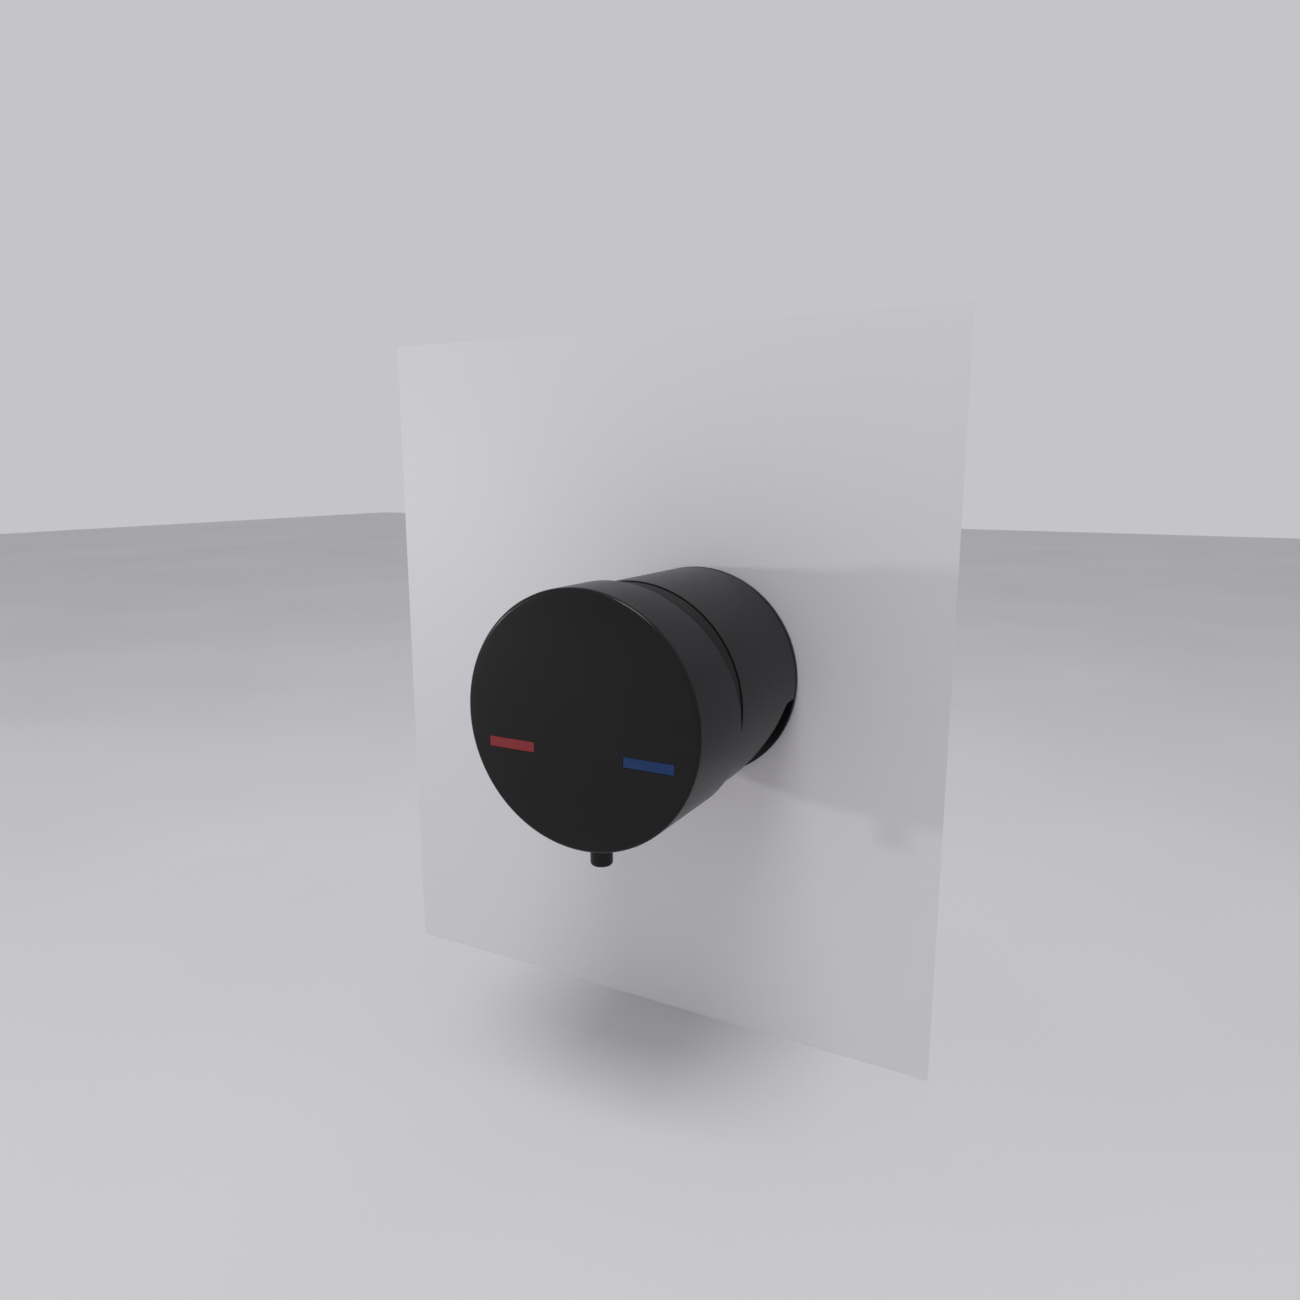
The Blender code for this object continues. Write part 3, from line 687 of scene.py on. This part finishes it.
def make_shank():
    """The tail: a flange, a long G 1 1/4 thread and the two passages for the nipples."""
    pitch, depth, neck_r = 2.309, 1.1, SHANK_R - 1.2
    flange = [(0, 6.0), (30.6, 6.0), (31.0, 5.6), (31.0, 3.9), (30.6, 3.5), (neck_r, 3.5)]

    def section(angle):
        ridge = thread(SHANK_R, depth, pitch, -1.0, SHANK_END + 1.4, angle)
        return flange + [(neck_r, 0.0)] + ridge + [(19.4, SHANK_END), (0, SHANK_END)]

    shank = swept("mounting_shank_threaded", section, 96)
    passage = [
        (0, 7.0),
        (6.9, 7.0),
        (6.9, 4.2),
        (6.1, 4.2),
        (6.1, -9.5),
        (4.0, -9.5),
        (4.0, -29.5),
        (6.7, -29.5),
        (6.7, SHANK_END - 1),
        (0, SHANK_END - 1),
    ]
    cutters = [turned("passage", passage, SMALL, (x, 0, 0)) for x in (-INLET_X, INLET_X)]
    for x, z in screw_places().values():
        cutters.append(turned("shank_hole", disc(2.05, 2, 7), 32, (x, 0, z)))
    return finished(cut(shank, *cutters), "fixed", "brass", "mounting_shank", sharp=30)


def make_lock_nut():
    bore = SHANK_R + GAP
    angles = [2 * math.pi * k / 180 for k in range(180)]

    def section(angle):
        return (
            [(bore + 0.9, NUT_FRONT)]
            + hexagon_stretch(angle, NUT_FLATS, NUT_FRONT, NUT_BACK)
            + [(bore + 0.9, NUT_BACK), (bore, NUT_BACK + 0.9), (bore, NUT_FRONT - 0.9)]
        )

    nut = swept("lock_nut_chamfered", section, angles=angles)
    return finished(nut, "fixed", "brass", "lock_nut", sharp=20)


def make_nipple(side, x):
    """Thread for the shank, a chamfered hexagon, and a G 3/8 thread for the hose."""
    angles = [2 * math.pi * k / 96 for k in range(96)]

    def section(angle):
        inside = thread(6.4, 0.5, PIPE_PITCH, -30.4, -38.6, angle)
        middle = hexagon_stretch(angle, HEX_FLATS, -40.0, -45.4)
        hose = thread(NIPPLE_R, 0.75, PIPE_PITCH, -46.4, NIPPLE_END + 0.9, angle)
        return (
            [(4.5, -30.0), (5.9, -30.0)]
            + inside
            + [(6.4, -39.4), (6.4, -40.0)]
            + middle
            + [(7.5, -45.4)]
            + hose
            + [(7.6, NIPPLE_END), (6.2, NIPPLE_END), (6.2, -56.4), (4.5, -56.4)]
        )

    nipple = swept(f"{side}_inlet_nipple_threaded", section, at=(x, 0, 0), angles=angles)
    return finished(nipple, "fixed", "brass", f"{side}_inlet_nipple", sharp=25)


def make_strainer(side, x):
    """A pressed rim with a fine woven mesh inside it."""
    outline = rounded(hoop(4.9, 5.9, -58.5, -57.3), 0.3)
    rim = turned(f"{side}_strainer_woven", outline, SMALL, (x, 0, 0))
    bm = bmesh.new()
    bm.from_mesh(rim.data)
    reach = 5.1
    for across in (False, True):
        for k in range(-8, 9):
            offset = k * WIRE_SPACING
            if abs(offset) < reach - 0.2:
                half = math.sqrt(reach**2 - offset**2)
                add_wire(bm, x, offset, half, across, k)
    bm.to_mesh(rim.data)
    bm.free()
    return finished(rim, "fixed", "steel", f"{side}_strainer")


def add_wire(bm, x, offset, half, across, k):
    """One wire of the mesh, which passes over and under the ones that cross it."""
    sides, steps = 5, 34
    rows = []
    for step in range(steps + 1):
        t = -half + 2 * half * step / steps
        wave = 0.1 * math.cos(math.pi * t / WIRE_SPACING) * (1 if (k + across) % 2 else -1)
        out = -57.9 + wave
        row = []
        for side in range(sides):
            a = 2 * math.pi * side / sides
            wide, deep = WIRE_R * math.cos(a), WIRE_R * math.sin(a)
            if across:
                place = (x + t, -(out + deep), offset + wide)
            else:
                place = (x + offset + wide, -(out + deep), t)
            row.append(bm.verts.new(Vector(place) * MM))
        rows.append(row)
    for here, after in zip(rows, rows[1:]):
        for side in range(sides):
            nxt = (side + 1) % sides
            bm.faces.new((here[side], here[nxt], after[nxt], after[side]))
    bm.faces.new(rows[0])
    bm.faces.new(rows[-1][::-1])


def make_soft_ring(name, inner, outer, back, front, slot, node, x=0.0, edge=0.35):
    piece = turned(name, rounded(hoop(inner, outer, back, front), edge, 4), PLAIN, (x, 0, 0))
    return finished(piece, "fixed", slot, node, sharp=60)


def make_clamp_rings():
    bore = SHANK_R + GAP
    outer, behind = 31.0, -BATH_WALL
    gasket_back = behind - 2.0
    washer_front, washer_back = gasket_back - GAP, behind - 3.8
    make_soft_ring("front_gasket_ring", bore + 0.2, 31.7, 0.0, 1.4, "rubber", "front_gasket")
    make_soft_ring("rear_gasket_ring", bore, outer, gasket_back, behind, "rubber", "rear_gasket")
    make_soft_ring(
        "rear_washer_ring", bore, outer, washer_back, washer_front, "steel", "rear_washer", edge=0.2
    )
    for side, x in (("hot", -INLET_X), ("cold", INLET_X)):
        make_soft_ring(
            f"{side}_nipple_washer", 6.8, 9.4, -39.7, -38.3, "rubber", f"{side}_nipple_seal", x
        )


# ---------------------------------------------------------------- what stays as the CAD made it


def dress_cad_nodes():
    """Every CAD node takes the procedural finish of its slot."""
    slots = {part["node"]: part["material_slot"] for part in frame["record"]["subparts"]}
    for node, obj in frame["nodes"].items():
        material = FINISHES[slots[node]]
        if not obj.material_slots:
            obj.data.materials.append(material)
        for material_slot in obj.material_slots:
            material_slot.material = material


# ---------------------------------------------------------------- stage, light and camera


def make_wall():
    """A pale satin panel for the bath's inner wall.

    It shows only from the front, so that the mixer can be seen from behind as well.
    """
    material, nodes, links, shader = new_material("bath_wall")
    slow = noise(nodes, links, object_place(nodes, links), 3.0, 2.0)
    colour = two_colours(nodes, links, slow, (0.615, 0.61, 0.635), (0.64, 0.635, 0.66))
    links.new(colour, shader.inputs["Base Color"])
    shader.inputs["Roughness"].default_value = 0.45
    geometry = nodes.new("ShaderNodeNewGeometry")
    clear = nodes.new("ShaderNodeBsdfTransparent")
    mix = nodes.new("ShaderNodeMixShader")
    links.new(geometry.outputs["Backfacing"], mix.inputs["Fac"])
    links.new(shader.outputs["BSDF"], mix.inputs[1])
    links.new(clear.outputs["BSDF"], mix.inputs[2])
    links.new(mix.outputs["Shader"], nodes["Material Output"].inputs["Surface"])
    facing_out = (math.radians(90), 0, 0)
    middle_x = (PANEL_LEFT + PANEL_RIGHT) / 2
    middle_z = (PANEL_TOP + FLOOR_Z) / 2
    size = (PANEL_RIGHT - PANEL_LEFT, PANEL_TOP - FLOOR_Z)
    return sheet("bath_wall", size, (middle_x, PANEL_Y, middle_z), facing_out, material)


def make_floor():
    material, nodes, links, shader = new_material("floor")
    slow = noise(nodes, links, object_place(nodes, links), 4.0, 2.0)
    colour = two_colours(nodes, links, slow, (0.60, 0.60, 0.61), (0.64, 0.64, 0.65))
    links.new(colour, shader.inputs["Base Color"])
    shader.inputs["Roughness"].default_value = 0.6
    return sheet("floor", (6.0, 6.0), (0, 0, FLOOR_Z), (0, 0, 0), material)


def sheet(name, size, place, turn, material):
    bm = bmesh.new()
    bmesh.ops.create_grid(bm, x_segments=1, y_segments=1, size=0.5)
    bmesh.ops.scale(bm, vec=(*size, 1), verts=bm.verts)
    obj = mesh_object(name, bm)
    obj.location = place
    obj.rotation_euler = turn
    obj.data.materials.append(material)
    return obj


def area_light(name, place, size, power, colour):
    """A square light that faces the mixer."""
    light = bpy.data.lights.new(name, "AREA")
    light.shape = "SQUARE"
    light.size = size
    light.energy = power
    light.color = colour
    obj = bpy.data.objects.new(name, light)
    obj.location = place
    obj.rotation_euler = (-Vector(place)).to_track_quat("-Z", "Y").to_euler()
    bpy.context.scene.collection.objects.link(obj)
    return obj


def make_light():
    world = bpy.data.worlds.new("studio")
    world.use_nodes = True
    background = world.node_tree.nodes["Background"]
    background.inputs["Color"].default_value = (0.965, 0.955, 1.0, 1)
    background.inputs["Strength"].default_value = 0.58
    bpy.context.scene.world = world
    area_light("left_key", (-0.80, -0.82, 0.02), 0.06, 1.8, (1.0, 0.98, 0.97))
    area_light("front_top", (0.10, -0.38, 0.92), 0.42, 5.0, (1.0, 0.99, 0.98))


def make_camera():
    """Looks at the knob from its front right and slightly above."""
    camera_data = bpy.data.cameras.new("camera")
    camera_data.sensor_width = 36.0
    camera_data.lens = 26.34
    camera_data.clip_start = 0.01
    camera = bpy.data.objects.new("camera", camera_data)
    camera.location = (0.1374, -0.2916, 0.0690)
    look_left, look_down = math.radians(28.2), math.radians(10.84)
    camera.rotation_euler = (math.radians(90) - look_down, 0, look_left)
    bpy.context.scene.collection.objects.link(camera)
    bpy.context.scene.camera = camera


def main():
    dress_cad_nodes()
    make_camera()
    make_knob_cap()
    make_bar("hot_bar", -BAR_X, "red_enamel", "hot_marker")
    make_bar("cold_bar", BAR_X, "blue_enamel", "cold_marker")
    make_grip_pin()
    make_hub()
    make_set_screw()
    make_sleeve()
    make_base_plate()
    make_trim_collar()
    make_chamber_ring()
    make_valve_body()
    for where, (x, z) in screw_places().items():
        make_body_screw(where, x, z)
    make_shank()
    make_lock_nut()
    make_clamp_rings()
    for side, x in (("hot", -INLET_X), ("cold", INLET_X)):
        make_nipple(side, x)
        make_strainer(side, x)
    make_wall()
    make_floor()
    make_light()
    bpy.context.scene.view_settings.view_transform = "Standard"


main()
